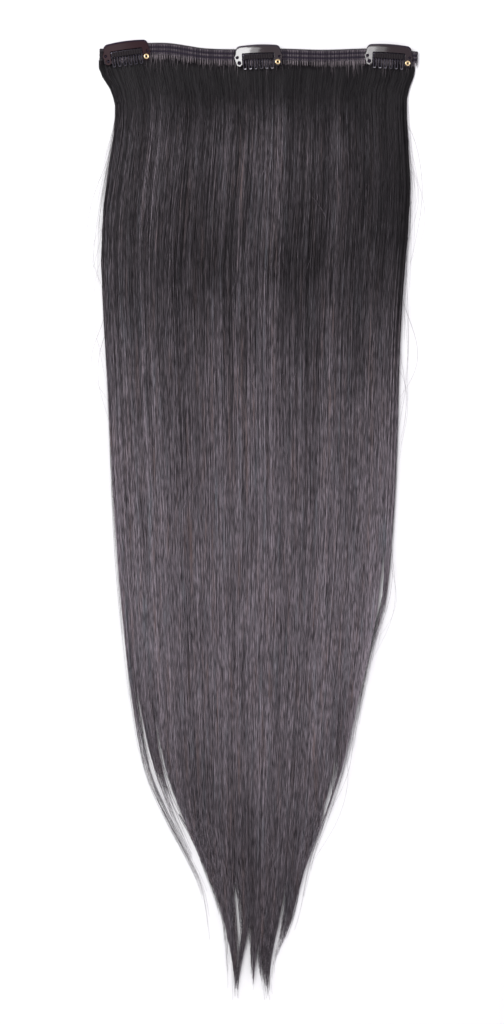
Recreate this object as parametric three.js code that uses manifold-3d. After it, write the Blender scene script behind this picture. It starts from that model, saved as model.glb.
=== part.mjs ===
// A clip-in hair weft: a curtain of straight hair sewn into a seam band, with snap clips on
// the band. It lies on a surface with its clips up. Millimetres, +Z up, +Y from the hair
// towards the band. The origin is under the middle of the band.
import * as THREE from "three";
import { mergeVertices } from "three/addons/utils/BufferGeometryUtils.js";
import Module from "manifold-3d";

const wasm = await Module();
wasm.setup();

// Seam band: machine-sewn hair, with rows of thread that stand up as ridges.
const bandWidth = 214;
const bandHeight = 7.2;
const bandThickness = 2.9;
const seamRows = 3;
const seamRelief = 0.8;
const bandWave = 4.1; // how far the laid band strays from straight
const returnLength = 2.9; // short turned-over ends of the hair, below the lowest seam row
const returnThickness = 0.6;

// Hair, from the band's lower edge to the longest tip.
const hairLength = 640;
const hairThickness = 8;
const rootThickness = 1.5;
const rootGap = 0.4; // from the band's lower edge to the roots
const rootFlat = 3.8; // the hair stays this thin while it passes under the turned-over ends
const lockOverlap = 1.75; // width of a lock against its share of the curtain
const backingShare = 0.62; // thickness of the backing against the locks
const tipWidth = 1.2;
const tipThickness = 0.7;
const softGap = 0.3;

// Snap clip, as a bowed plate with two legs. Its own frame has X along the clip and Y = 0
// on the line through the two lower holes.
const clipLength = 32.7;
const clipSetback = 6.1; // from the band's middle line down to the lower holes
const plateThickness = 0.6;
const plateBow = 1.8;
const barBottom = 6.4;
const barTop = 11.4; // at the bar's ends
const barArch = 0.9; // in the plane of the plate
const barInset = 1.1; // from the legs' widest place
const barCornerRadius = 3;
const rollDrop = 1.1; // how far the bar's upper edge is rolled down
const endLift = 0.85; // how much of the roll is lost at the bar's ends, which lie on the band
const legWidth = 5.35;
const lowerHoleInset = 3.35; // hole centres, in from the end of the clip
const upperHoleInset = 2;
const upperHoleRise = 3.8;
const lowerHoleRadius = 1.2;
const upperHoleRadius = 0.95;
const legEndDrop = 0.5;
const legJoin = 1; // how far a leg runs into the bar
const metalGap = 0.15;

// Comb of the clip: a root bar with hairpin teeth.
const teeth = 6;
const toothPitch = 3.7;
const toothWidth = 2.4;
const slotWidth = 1.1;
const toothReach = 4.4; // below the lower holes
const rootBarHeight = 1.4;
const rootBarGap = 0.4; // to the plate's bar above it
const combThickness = 0.6;
const combRise = 0.1;
const combBow = 0.5;
const toothDip = 0.6;
const sideGap = 0.3; // between the root bar's ends and the legs

// Ribbed silicone grip, over the root bar and the roots of the teeth.
const gripWidth = 3.3;
const gripThickness = 1;
const gripDrop = 0.4; // below the root bar's upper edge
const gripInset = 0.8;
const gripRibs = 12;
const ribRelief = 0.25;

// Brass eyelet in the right leg's lower hole.
const eyeletFlangeRadius = 1.75;
const eyeletBoreRadius = 0.7;
const eyeletFlangeThickness = 0.45;

const arcSteps = 6; // straight steps in a half turn
const bandSections = 30;

const halfBand = bandWidth / 2;
const halfClip = clipLength / 2;
const halfBar = halfClip - barInset;
const legInner = halfClip - legWidth;
const legEndRadius = legWidth - lowerHoleInset;
const legSlope = plateBow / (halfClip - legInner / 2);
const plateLevel = bandThickness + softGap;
const combLevel = plateLevel + metalGap;
const rootBarTop = barBottom - rootBarGap;
const rootBarBottom = rootBarTop - rootBarHeight;

// Course of the laid band: along in half widths, rise in bandWave.
const bandCourse = [
  { along: -1, rise: 0.1 },
  { along: -0.84, rise: 0.6 },
  { along: -0.7, rise: 1 },
  { along: -0.57, rise: 0.94 },
  { along: -0.36, rise: 0.13 },
  { along: -0.17, rise: -0.05 },
  { along: 0, rise: 0 },
  { along: 0.14, rise: 0.05 },
  { along: 0.4, rise: -0.14 },
  { along: 0.67, rise: 0.07 },
  { along: 0.83, rise: 0.03 },
  { along: 1, rise: -0.45 },
];

// Outline of the curtain: down in hair lengths, left and right in half widths of the band,
// full in hair thicknesses.
const curtain = [
  { down: 0, left: -0.988, right: 0.985, full: 0.18 },
  { down: 0.013, left: -0.985, right: 0.98, full: 0.3 },
  { down: 0.035, left: -0.937, right: 0.936, full: 0.5 },
  { down: 0.06, left: -0.922, right: 0.932, full: 0.72 },
  { down: 0.1, left: -0.953, right: 0.944, full: 0.9 },
  { down: 0.145, left: -0.993, right: 0.953, full: 1 },
  { down: 0.195, left: -1.015, right: 0.934, full: 1 },
  { down: 0.25, left: -1.008, right: 0.906, full: 1 },
  { down: 0.32, left: -0.982, right: 0.884, full: 0.96 },
  { down: 0.4, left: -0.959, right: 0.87, full: 0.93 },
  { down: 0.49, left: -0.928, right: 0.844, full: 0.9 },
  { down: 0.57, left: -0.89, right: 0.79, full: 0.86 },
  { down: 0.635, left: -0.85, right: 0.683, full: 0.83 },
  { down: 0.695, left: -0.805, right: 0.6, full: 0.8 },
  { down: 0.755, left: -0.715, right: 0.515, full: 0.76 },
  { down: 0.81, left: -0.5, right: 0.4, full: 0.7 },
  { down: 0.85, left: -0.378, right: 0.304, full: 0.63 },
  { down: 0.91, left: -0.24, right: 0.207, full: 0.52 },
  { down: 0.96, left: -0.195, right: 0.085, full: 0.42 },
  { down: 1, left: -0.18, right: 0.055, full: 0.3 },
];

// Locks, from left to right: across is the place in the curtain from 0 to 1, end is the
// length in hair lengths, tip is where it ends in half widths of the band, and lift is its
// height against its neighbours'.
const locks = [
  { across: 0.04, end: 0.8, tip: -0.5, lift: 0.78 },
  { across: 0.12, end: 0.9, tip: -0.235, lift: 1 },
  { across: 0.205, end: 0.96, tip: -0.185, lift: 0.86 },
  { across: 0.29, end: 0.99, tip: -0.172, lift: 1.04 },
  { across: 0.375, end: 0.972, tip: -0.15, lift: 0.9 },
  { across: 0.46, end: 0.976, tip: -0.056, lift: 1.02 },
  { across: 0.545, end: 0.968, tip: -0.047, lift: 0.88 },
  { across: 0.63, end: 0.99, tip: 0.038, lift: 1.05 },
  { across: 0.715, end: 0.978, tip: 0.022, lift: 0.92 },
  { across: 0.8, end: 0.97, tip: 0.055, lift: 1.02 },
  { across: 0.88, end: 0.925, tip: 0.145, lift: 0.88 },
  { across: 0.96, end: 0.84, tip: 0.29, lift: 0.76 },
];
const lockStations = [
  0.035, 0.08, 0.14, 0.21, 0.3, 0.41, 0.52, 0.62, 0.7, 0.77, 0.83, 0.89, 0.94, 0.975, 1,
];
const lockSink = 0.25; // level of the locks' undersides
const backingEnd = 0.93;
const backingShorten = 0.055; // how much sooner the backing ends at its sides
const backingInset = 0.6;
const backingSteps = 14;
const forkStart = 0.78; // where a lock starts to gather into its tip, in its own length
const taperStart = 0.93; // where it starts to narrow

// Clips, from left to right: along in half widths of the band, tilt in degrees as laid.
const clips = [
  { name: "left", along: -0.847, tilt: 7.8 },
  { name: "centre", along: -0.013, tilt: 2.2 },
  { name: "right", along: 0.813, tilt: -3.5 },
];

const surfaces = {
  hair: { color: 0x2a262b, roughness: 0.42, metalness: 0 },
  band: { color: 0x332d34, roughness: 0.7, metalness: 0 },
  plate: { color: 0x2b2322, roughness: 0.25, metalness: 0.7 },
  comb: { color: 0x242126, roughness: 0.3, metalness: 0.7 },
  grip: { color: 0x141315, roughness: 0.6, metalness: 0 },
  brass: { color: 0xd8a857, roughness: 0.25, metalness: 1 },
};

// A smooth curve through one column of a table, read at a value of its key column.
function curve(table, key, column) {
  const x = table.map((row) => row[key]);
  const y = table.map((row) => row[column]);
  const last = x.length - 1;
  const slope = x.map((_, i) => {
    const before = Math.max(i - 1, 0);
    const after = Math.min(i + 1, last);
    return (y[after] - y[before]) / (x[after] - x[before]);
  });
  return (value) => {
    let i = 0;
    while (i < last - 1 && value > x[i + 1]) i += 1;
    const span = x[i + 1] - x[i];
    const t = THREE.MathUtils.clamp((value - x[i]) / span, 0, 1);
    const s = 1 - t;
    return (
      y[i] * (1 + 2 * t) * s * s +
      slope[i] * span * t * s * s +
      y[i + 1] * t * t * (3 - 2 * t) -
      slope[i + 1] * span * t * t * s
    );
  };
}

const bandRise = curve(bandCourse, "along", "rise");
const curtainLeft = curve(curtain, "down", "left");
const curtainRight = curve(curtain, "down", "right");
const curtainFull = curve(curtain, "down", "full");

// Height of the band's middle line at a place along the clip side.
function bandY(x) {
  return bandWave * bandRise(THREE.MathUtils.clamp(x / halfBand, -1, 1));
}

// Triangles over a ring whose second half runs back beside its first.
function stripFaces(count) {
  const faces = [];
  for (let i = 0; i < count / 2 - 1; i += 1) {
    const back = count - 1 - i;
    faces.push([i, i + 1, back - 1], [i, back - 1, back]);
  }
  return faces;
}

// A closed solid through rings of equal length. The faces are those of its two ends, turned
// the way that the rings run.
function loft(rings, faces = stripFaces(rings[0].length)) {
  const count = rings[0].length;
  const positions = rings.flat().flatMap((p) => p.toArray());
  const index = [];
  rings.slice(1).forEach((_, ring) => {
    for (let i = 0; i < count; i += 1) {
      const a = ring * count + i;
      const b = ring * count + ((i + 1) % count);
      index.push(a, b, b + count, a, b + count, a + count);
    }
  });
  const end = (rings.length - 1) * count;
  for (const [a, b, c] of faces) {
    index.push(c, b, a);
    index.push(end + a, end + b, end + c);
  }
  const geometry = new THREE.BufferGeometry();
  geometry.setAttribute("position", new THREE.Float32BufferAttribute(positions, 3));
  geometry.setIndex(index);
  return geometry;
}

// A geometry as a solid that can be joined or cut.
function solid(geometry) {
  const bare = geometry.clone();
  bare.deleteAttribute("normal");
  bare.deleteAttribute("uv");
  const merged = mergeVertices(bare, 1e-4);
  const mesh = new wasm.Mesh({
    numProp: 3,
    vertProperties: merged.attributes.position.array,
    triVerts: new Uint32Array(merged.index.array),
  });
  return new wasm.Manifold(mesh);
}

// A solid as a geometry again.
function geometryOf(manifold) {
  const mesh = manifold.getMesh();
  const geometry = new THREE.BufferGeometry();
  geometry.setAttribute("position", new THREE.BufferAttribute(mesh.vertProperties, 3));
  geometry.setIndex(new THREE.BufferAttribute(mesh.triVerts, 1));
  return geometry;
}

// Moves each vertex up by a height that depends on its place in the plane.
function bend(geometry, height) {
  const position = geometry.getAttribute("position");
  for (let i = 0; i < position.count; i += 1) {
    position.setZ(i, position.getZ(i) + height(position.getX(i), position.getY(i)));
  }
  return geometry;
}

function mesh(name, geometry, surface) {
  const made = new THREE.Mesh(geometry, new THREE.MeshStandardMaterial(surface));
  made.name = name;
  return made;
}

// Points of an arc, in degrees, both ends included.
function arc(centreX, centreY, radius, from, to) {
  const steps = Math.max(2, Math.ceil((Math.abs(to - from) / 180) * arcSteps));
  return Array.from({ length: steps + 1 }, (_, i) => {
    const angle = THREE.MathUtils.degToRad(from + ((to - from) * i) / steps);
    return new THREE.Vector2(
      centreX + radius * Math.cos(angle),
      centreY + radius * Math.sin(angle),
    );
  });
}

function extrude(outline, holes, thickness) {
  const shape = new THREE.Shape(outline);
  shape.holes = holes.map((points) => new THREE.Path(points));
  return new THREE.ExtrudeGeometry(shape, { depth: thickness, bevelEnabled: false });
}

// Section of the band, as distance above its middle line and height above the surface.
function bandSection() {
  const half = bandHeight / 2;
  const returnLevel = rootThickness + softGap;
  const rowHeight = bandHeight / seamRows;
  const section = [
    new THREE.Vector2(half, 0),
    new THREE.Vector2(-half, 0),
    new THREE.Vector2(-half, returnLevel),
    new THREE.Vector2(-half - returnLength, returnLevel),
    new THREE.Vector2(-half - returnLength, returnLevel + returnThickness / 2),
  ];
  for (let row = 0; row < seamRows; row += 1) {
    const middle = -half + (row + 0.5) * rowHeight;
    arc(0, 0, 1, 180, 0)
      .slice(row ? 1 : 0)
      .forEach((p) => {
        const level = bandThickness - seamRelief + seamRelief * p.y;
        section.push(new THREE.Vector2(middle + (p.x * rowHeight) / 2, level));
      });
  }
  return section;
}

function seamBand() {
  const section = bandSection();
  const rings = [];
  for (let i = 0; i <= bandSections; i += 1) {
    const x = halfBand * (1 - (2 * i) / bandSections);
    rings.push(section.map(({ x: y, y: z }) => new THREE.Vector3(x, bandY(x) + y, z)));
  }
  const faces = THREE.ShapeUtils.triangulateShape(section, []);
  return loft(rings, faces.map((face) => face.toReversed()));
}

// A point in the curtain, with across from 0 to 1 and down in hair lengths.
function hairPoint(x, down, z) {
  const settle = 1 - THREE.MathUtils.smoothstep(down, 0, 0.12);
  const top = -bandHeight / 2 - rootGap + bandY(x) * settle;
  return new THREE.Vector3(x, top - down * hairLength, z);
}

// Height of a share of the hair, crowned across the curtain and thin where the band covers it.
function hairHeight(across, down, share) {
  const crown = 1 - 0.5 * (2 * across - 1) ** 2;
  const free = THREE.MathUtils.smoothstep(down * hairLength, rootFlat, 12 * rootFlat);
  const full = hairThickness * curtainFull(down) * crown * share;
  return THREE.MathUtils.lerp(rootThickness, full, free);
}

// Places down the hair for the sections of a solid, from the edge of the band's cover on.
function stations(end) {
  const start = rootFlat / hairLength;
  return [start, ...lockStations.map((share) => THREE.MathUtils.lerp(start, end, share))];
}

// Right and left edge of the curtain at a place down the hair.
function edges(down) {
  return { left: halfBand * curtainLeft(down), right: halfBand * curtainRight(down) };
}

function backing() {
  const places = Array.from({ length: backingSteps + 1 }, (_, i) => i / backingSteps);
  const rings = [];
  for (const down of [0, ...stations(backingEnd)]) {
    const point = (across, share) => {
      const reach = down * (1 - backingShorten * (2 * across - 1) ** 2 * down);
      const { left, right } = edges(reach);
      const x = THREE.MathUtils.lerp(left + backingInset, right - backingInset, across);
      return hairPoint(x, reach, share * hairHeight(across, reach, backingShare));
    };
    const under = places.map((across) => point(across, 0));
    const over = places.map((across) => point(across, 1));
    rings.push([...under, ...over.reverse()]);
  }
  return loft(rings);
}

// Section of a lock, as shares of its half width and of its height.
const lockSection = [
  [-1, 0],
  [1, 0],
  [0.82, 0.55],
  [0.36, 0.95],
  [-0.36, 0.95],
  [-0.82, 0.55],
];

function lock({ across, end, tip, lift }) {
  const rings = [];
  for (const down of stations(end)) {
    const { left, right } = edges(down);
    const gather = THREE.MathUtils.smoothstep(down, forkStart * end, end);
    const free = THREE.MathUtils.lerp(left, right, across);
    const middle = THREE.MathUtils.lerp(free, halfBand * tip, gather);
    const taper = 1 - THREE.MathUtils.smoothstep(down, end * taperStart, end);
    const share = ((right - left) / locks.length) * lockOverlap;
    const inside = Math.min(middle - left, right - middle);
    const wide = Math.min(share / 2, Math.max(inside, tipWidth));
    const half = THREE.MathUtils.lerp(tipWidth / 2, wide, taper);
    const full = hairHeight(across, down, lift);
    const height = THREE.MathUtils.lerp(tipThickness, full, Math.sqrt(taper));
    const level = (z) => THREE.MathUtils.lerp(lockSink, height, z);
    rings.push(lockSection.map(([x, z]) => hairPoint(middle + x * half, down, level(z))));
  }
  return loft(rings);
}

function hair() {
  const joined = locks.reduce((body, row) => body.add(solid(lock(row))), solid(backing()));
  return geometryOf(joined);
}

// Height of a bowed piece: straight slopes along the legs, and an arc between them.
function bow(x, rise) {
  const out = Math.abs(x);
  const slope = legSlope * (rise / plateBow);
  if (out > legInner) return slope * (halfClip - out);
  return rise - (slope * out * out) / (2 * legInner);
}

// Section of the plate's bar, from its lower to its upper edge, which is rolled down.
const barSection = [
  { up: 0, drop: 0 },
  { up: 0.4, drop: 0 },
  { up: 0.74, drop: 0.08 },
  { up: 0.91, drop: 0.42 },
  { up: 1, drop: 1 },
];
const barStations = [1, 0.98, 0.93, 0.86, 0.7, 0.47, 0.24];

function plateBar() {
  const mirrored = barStations.toReversed().map((share) => -share);
  const rings = [...barStations, 0, ...mirrored].map((share) => {
    const x = halfBar * share;
    const corner = Math.max(0, Math.abs(x) - (halfBar - barCornerRadius));
    const cut = barCornerRadius - Math.sqrt(barCornerRadius ** 2 - corner ** 2);
    const top = barTop + barArch * (1 - share * share) - cut;
    const level = plateLevel + bow(x, plateBow);
    const roll = rollDrop * (1 - endLift * share ** 4);
    const point = (lift) => ({ up, drop }) => {
      const y = THREE.MathUtils.lerp(barBottom, top, up);
      return new THREE.Vector3(x, y, level + lift - roll * drop);
    };
    return [...barSection.map(point(0)).reverse(), ...barSection.map(point(plateThickness))];
  });
  return loft(rings);
}

// One leg of the plate, on the side given by the sign, with its two holes.
function leg(side) {
  const lowerX = halfClip - lowerHoleInset;
  const upperX = halfClip - upperHoleInset;
  const joinY = barBottom + legJoin;
  const outline = [
    new THREE.Vector2(legInner, joinY),
    ...arc(lowerX, -legEndDrop, legEndRadius, -180, -20),
    new THREE.Vector2(halfClip, upperHoleRise - upperHoleRadius),
    new THREE.Vector2(halfClip, upperHoleRise + upperHoleRadius / 2),
    new THREE.Vector2(halfBar, barBottom),
    new THREE.Vector2(halfBar, joinY),
  ];
  const holes = [
    arc(lowerX, 0, lowerHoleRadius, 360, 0).slice(1),
    arc(upperX, upperHoleRise, upperHoleRadius, 360, 0).slice(1),
  ];
  const made = extrude(outline, holes, plateThickness);
  if (side < 0) made.rotateY(Math.PI).translate(0, 0, plateThickness);
  return solid(bend(made.translate(0, 0, plateLevel), (x) => bow(x, plateBow)));
}

function clipPlate() {
  return geometryOf(solid(plateBar()).add(leg(-1)).add(leg(1)));
}

// Height of the comb and its grip along the clip, over the comb's ends.
function arch(x) {
  return combRise + combBow * (1 - (x / legInner) ** 2);
}

// Root bar and teeth in one flat outline, bent after it is cut.
function clipComb() {
  const halfRoot = legInner - sideGap;
  const waist = [0.35, 0.7];
  const outline = [new THREE.Vector2(-halfRoot, rootBarTop)];
  const slots = [];
  for (let tooth = 0; tooth < teeth; tooth += 1) {
    const x = (tooth - (teeth - 1) / 2) * toothPitch;
    const endY = -toothReach + toothWidth / 2;
    const at = (share) => THREE.MathUtils.lerp(rootBarBottom, endY, share);
    const half = toothWidth / 2;
    outline.push(
      new THREE.Vector2(x - half, rootBarBottom),
      ...waist.map((share) => new THREE.Vector2(x - half, at(share))),
      ...arc(x, endY, half, 180, 360),
      ...waist.toReversed().map((share) => new THREE.Vector2(x + half, at(share))),
      new THREE.Vector2(x + half, rootBarBottom),
    );
    const slotTop = rootBarBottom - slotWidth / 2 - metalGap;
    const side = slotWidth / 2;
    slots.push([
      ...arc(x, slotTop, side, 0, 180),
      ...waist.map((share) => new THREE.Vector2(x - side, at(share))),
      ...arc(x, endY, side, 180, 360),
      ...waist.toReversed().map((share) => new THREE.Vector2(x + side, at(share))),
    ]);
  }
  outline.push(new THREE.Vector2(halfRoot, rootBarTop));
  for (let tooth = teeth - 1; tooth > 0; tooth -= 1) {
    outline.push(new THREE.Vector2((tooth - teeth / 2) * toothPitch, rootBarTop));
  }
  const reach = rootBarTop + toothReach;
  const height = (x, y) => arch(x) - toothDip * ((rootBarTop - y) / reach) ** 2;
  return bend(extrude(outline, slots, combThickness).translate(0, 0, combLevel), height);
}

// The grip, a strip with ribs across it, on the comb's upper side.
function clipGrip() {
  const top = rootBarTop - gripDrop;
  const halfGrip = legInner - sideGap - gripInset;
  const sections = 2 * gripRibs;
  const rings = [];
  for (let i = 0; i <= sections; i += 1) {
    const x = halfGrip * (1 - (2 * i) / sections);
    const base = combLevel + combThickness + metalGap + arch(x);
    const crest = base + gripThickness - (i % 2 ? 0 : ribRelief);
    const round = gripThickness * 0.3;
    rings.push([
      new THREE.Vector3(x, top, base),
      new THREE.Vector3(x, top, crest - round),
      new THREE.Vector3(x, top - round, crest),
      new THREE.Vector3(x, top - gripWidth + round, crest),
      new THREE.Vector3(x, top - gripWidth, crest - round),
      new THREE.Vector3(x, top - gripWidth, base),
    ].reverse());
  }
  return loft(rings);
}

// The eyelet, turned about its own axis, with a rolled flange over the sloping leg.
function clipEyelet() {
  const barrel = lowerHoleRadius - metalGap;
  const seat = plateThickness + metalGap;
  const crest = seat + eyeletFlangeThickness;
  const middle = (eyeletBoreRadius + eyeletFlangeRadius) / 2;
  const profile = [
    [eyeletBoreRadius, 0],
    [barrel, 0],
    [barrel, seat],
    [eyeletFlangeRadius, seat],
    [eyeletFlangeRadius, seat + eyeletFlangeThickness * 0.4],
    [middle, crest],
    [eyeletBoreRadius, crest - eyeletFlangeThickness * 0.4],
    [eyeletBoreRadius, 0],
  ].map(([r, z]) => new THREE.Vector2(r, z));
  const turned = new THREE.LatheGeometry(profile, 2 * arcSteps).rotateX(Math.PI / 2);
  const x = halfClip - lowerHoleInset;
  return turned.rotateY(Math.atan(legSlope)).translate(x, 0, plateLevel + bow(x, plateBow));
}

function clip({ name, along, tilt }) {
  const group = new THREE.Group();
  group.add(mesh(`${name}_clip_plate`, clipPlate(), surfaces.plate));
  group.add(mesh(`${name}_clip_comb`, clipComb(), surfaces.comb));
  group.add(mesh(`${name}_clip_grip`, clipGrip(), surfaces.grip));
  group.add(mesh(`${name}_clip_eyelet`, clipEyelet(), surfaces.brass));
  const x = along * halfBand;
  group.position.set(x, bandY(x) - clipSetback, 0);
  group.rotation.z = THREE.MathUtils.degToRad(tilt);
  return group;
}

const weft = new THREE.Group();
weft.add(mesh("hair", hair(), surfaces.hair));
weft.add(mesh("seam_band", seamBand(), surfaces.band));
clips.forEach((row) => weft.add(clip(row)));

export default weft;
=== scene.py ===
# A clip-in hair weft, laid flat with its clips up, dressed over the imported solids.
# Lengths in the dictionaries are millimetres, with +Y from the hair towards the band.
import math

import bmesh
import bpy
import numpy as np
from mathutils import Matrix


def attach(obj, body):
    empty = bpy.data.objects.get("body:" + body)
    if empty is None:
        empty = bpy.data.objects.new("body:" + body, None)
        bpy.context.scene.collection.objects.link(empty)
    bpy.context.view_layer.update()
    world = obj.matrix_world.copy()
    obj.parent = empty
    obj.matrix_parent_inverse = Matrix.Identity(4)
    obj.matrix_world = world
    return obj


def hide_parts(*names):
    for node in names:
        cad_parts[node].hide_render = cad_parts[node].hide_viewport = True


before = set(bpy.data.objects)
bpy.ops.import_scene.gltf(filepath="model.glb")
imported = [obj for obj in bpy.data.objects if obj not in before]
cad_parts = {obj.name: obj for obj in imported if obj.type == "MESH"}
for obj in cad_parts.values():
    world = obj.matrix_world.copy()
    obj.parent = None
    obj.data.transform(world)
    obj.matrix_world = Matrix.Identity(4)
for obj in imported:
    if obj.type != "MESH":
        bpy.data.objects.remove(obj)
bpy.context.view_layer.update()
print("packed model loaded")

mm = 0.001
body = "weft"

# Sizes that the pieces share with the solids.
weft = {
    "halfBand": 107,
    "bandHeight": 7.2,
    "bandWave": 4.1,
    "rootGap": 0.4,
    "hairLength": 640,
    "hairThickness": 8,
    "rootThickness": 1.5,
    "rootFlat": 3.8,
    # the band's middle line: along in half bands, rise in shares of its wave
    "course": (
        (-1, 0.1), (-0.84, 0.6), (-0.7, 1), (-0.57, 0.94), (-0.36, 0.13), (-0.17, -0.05),
        (0, 0), (0.14, 0.05), (0.4, -0.14), (0.67, 0.07), (0.83, 0.03), (1, -0.45),
    ),
    # the curtain: down in hair lengths, left and right in half bands, and how full it is
    "outline": (
        (0, -0.988, 0.985, 0.18), (0.013, -0.985, 0.98, 0.3), (0.035, -0.937, 0.936, 0.5),
        (0.06, -0.922, 0.932, 0.72), (0.1, -0.953, 0.944, 0.9), (0.145, -0.993, 0.953, 1),
        (0.195, -1.015, 0.934, 1), (0.25, -1.008, 0.906, 1), (0.32, -0.982, 0.884, 0.96),
        (0.4, -0.959, 0.87, 0.93), (0.49, -0.928, 0.844, 0.9), (0.57, -0.89, 0.79, 0.86),
        (0.635, -0.85, 0.683, 0.83), (0.695, -0.805, 0.6, 0.8), (0.755, -0.715, 0.515, 0.76),
        (0.81, -0.5, 0.4, 0.7), (0.85, -0.378, 0.304, 0.63), (0.91, -0.24, 0.207, 0.52),
        (0.96, -0.195, 0.085, 0.42), (1, -0.18, 0.055, 0.3),
    ),
}


def curve(rows, column=1):
    # a smooth curve through one column of a table, read at values of its first column
    rows = np.array(rows, float)
    x, y = rows[:, 0], rows[:, column]
    order = np.arange(len(x))
    before = np.maximum(order - 1, 0)
    after = np.minimum(order + 1, len(x) - 1)
    slope = (y[after] - y[before]) / (x[after] - x[before])

    def read(value):
        value = np.asarray(value, float)
        i = np.clip(np.searchsorted(x, value) - 1, 0, len(x) - 2)
        span = x[i + 1] - x[i]
        t = np.clip((value - x[i]) / span, 0, 1)
        s = 1 - t
        start = y[i] * (1 + 2 * t) * s * s + slope[i] * span * t * s * s
        end = y[i + 1] * t * t * (3 - 2 * t) - slope[i + 1] * span * t * t * s
        return start + end

    return read


def curves(rows, *columns):
    return [curve(rows, column) for column in columns]


bandRise = curve(weft["course"])
curtainLeft, curtainRight, curtainFull = curves(weft["outline"], 1, 2, 3)


def smooth(value, low, high):
    t = np.clip((value - low) / (high - low), 0, 1)
    return t * t * (3 - 2 * t)


def mix(a, b, share):
    return a + (b - a) * share


def bandY(x):
    return weft["bandWave"] * bandRise(np.clip(np.asarray(x) / weft["halfBand"], -1, 1))


class Wire:
    # one socket in a material's nodes; sums on it add Math nodes
    def __init__(self, tree, socket=None):
        self.tree = tree
        self.socket = socket

    def node(self, kind, settings=None, sockets=None, output=0):
        made = self.tree.nodes.new("ShaderNode" + kind)
        for name, value in (settings or {}).items():
            if name == "stops":
                setStops(made.color_ramp, value)
            else:
                setattr(made, name, value)
        for name, value in (sockets or {}).items():
            if isinstance(value, Wire):
                self.tree.links.new(value.socket, made.inputs[name])
            else:
                made.inputs[name].default_value = value
        return Wire(self.tree, made.outputs[output])

    def sum(self, operation, *values):
        return self.node("Math", {"operation": operation}, dict(enumerate(values)))

    def __add__(self, other):
        return self.sum("ADD", self, other)

    def __radd__(self, other):
        return self.sum("ADD", other, self)

    def __sub__(self, other):
        return self.sum("SUBTRACT", self, other)

    def __rsub__(self, other):
        return self.sum("SUBTRACT", other, self)

    def __mul__(self, other):
        return self.sum("MULTIPLY", self, other)

    def __rmul__(self, other):
        return self.sum("MULTIPLY", other, self)

    def between(self, low, high):
        # this value's place from low to high, held at 0 and 1
        sockets = {"Value": self, "From Min": low, "From Max": high}
        return self.node("MapRange", {"interpolation_type": "SMOOTHSTEP"}, sockets)

    def blend(self, low, high):
        # a colour between two colours, by this value
        sockets = {"Factor": self, 6: low, 7: high}
        return self.node("Mix", {"data_type": "RGBA"}, sockets, 2)

    def attribute(self, name):
        return self.node("Attribute", {"attribute_name": name}, output=2)

    def place(self, scale):
        # object coordinates, in metres, times a scale for each axis
        spot = self.node("TexCoord", output=3)
        settings = {"operation": "MULTIPLY"}
        return self.node("VectorMath", settings, {0: spot, 1: scale})

    def noise(self, scale, detail=2, roughness=0.5):
        sockets = {"Vector": self.place(scale), "Scale": 1}
        sockets |= {"Detail": detail, "Roughness": roughness}
        return self.node("TexNoise", {}, sockets)

    def bump(self, height, distance, strength=1):
        sockets = {"Height": height, "Distance": distance, "Strength": strength}
        return self.node("Bump", {}, sockets)


def setStops(ramp, stops):
    while len(ramp.elements) < len(stops):
        ramp.elements.new(1)
    for element, (position, color) in zip(ramp.elements, stops):
        element.position = position
        element.color = color


def finish(name, fixed, vary):
    # a material with fixed socket values and the wires that vary returns
    made = bpy.data.materials.new(name)
    made.use_nodes = True
    tree = made.node_tree
    shader = tree.nodes["Principled BSDF"]
    for socket, value in fixed.items():
        shader.inputs[socket].default_value = value
    for socket, wire in vary(Wire(tree)).items():
        tree.links.new(wire.socket, shader.inputs[socket])
    return made


def rgb(red, green, blue):
    return (red, green, blue, 1)


def mottled(name, grain, detail, colours, roughness, fixed):
    # a material whose colour and roughness drift between two values, in grains of one size
    def vary(wire):
        drift = wire.noise((grain, grain, grain), detail)
        low, high = colours
        least, more = roughness
        colour = drift.blend(rgb(*low), rgb(*high))
        return {"Base Color": colour, "Roughness": least + more * drift}

    return finish(name, fixed, vary)


def addObject(name, data):
    made = bpy.data.objects.new(name, data)
    bpy.context.scene.collection.objects.link(made)
    return made


def meshFrom(name, points, faces, material, attributes=None, sharpAngle=None):
    mesh = bpy.data.meshes.new(name)
    mesh.from_pydata((np.asarray(points, float) * mm).tolist(), [], faces)
    mesh.validate()
    mesh.shade_smooth()
    if sharpAngle is not None:
        mesh.set_sharp_from_angle(angle=math.radians(sharpAngle))
    for key, values in (attributes or {}).items():
        made = mesh.attributes.new(key, "FLOAT", "POINT")
        made.data.foreach_set("value", np.asarray(values, np.float32).ravel())
    mesh.materials.append(material)
    return addObject(name, mesh)


def loftFaces(rings, count, closed=True):
    # quads between rings of points, and a face over each end
    ring = np.arange(rings - 1)[:, None] * count
    at = np.arange(count)[None, :]
    a = ring + at
    b = ring + (at + 1) % count
    quads = np.stack([a, b, b + count, a + count], -1).reshape(-1, 4).tolist()
    if closed:
        quads.append(list(range(count))[::-1])
        quads.append(list(range((rings - 1) * count, rings * count)))
    return quads


def loft(name, rings, material, attributes=None, sharpAngle=None):
    rings = np.asarray(rings, float)
    faces = loftFaces(rings.shape[0], rings.shape[1])
    points = rings.reshape(-1, 3)
    return meshFrom(name, points, faces, material, attributes, sharpAngle)


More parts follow.
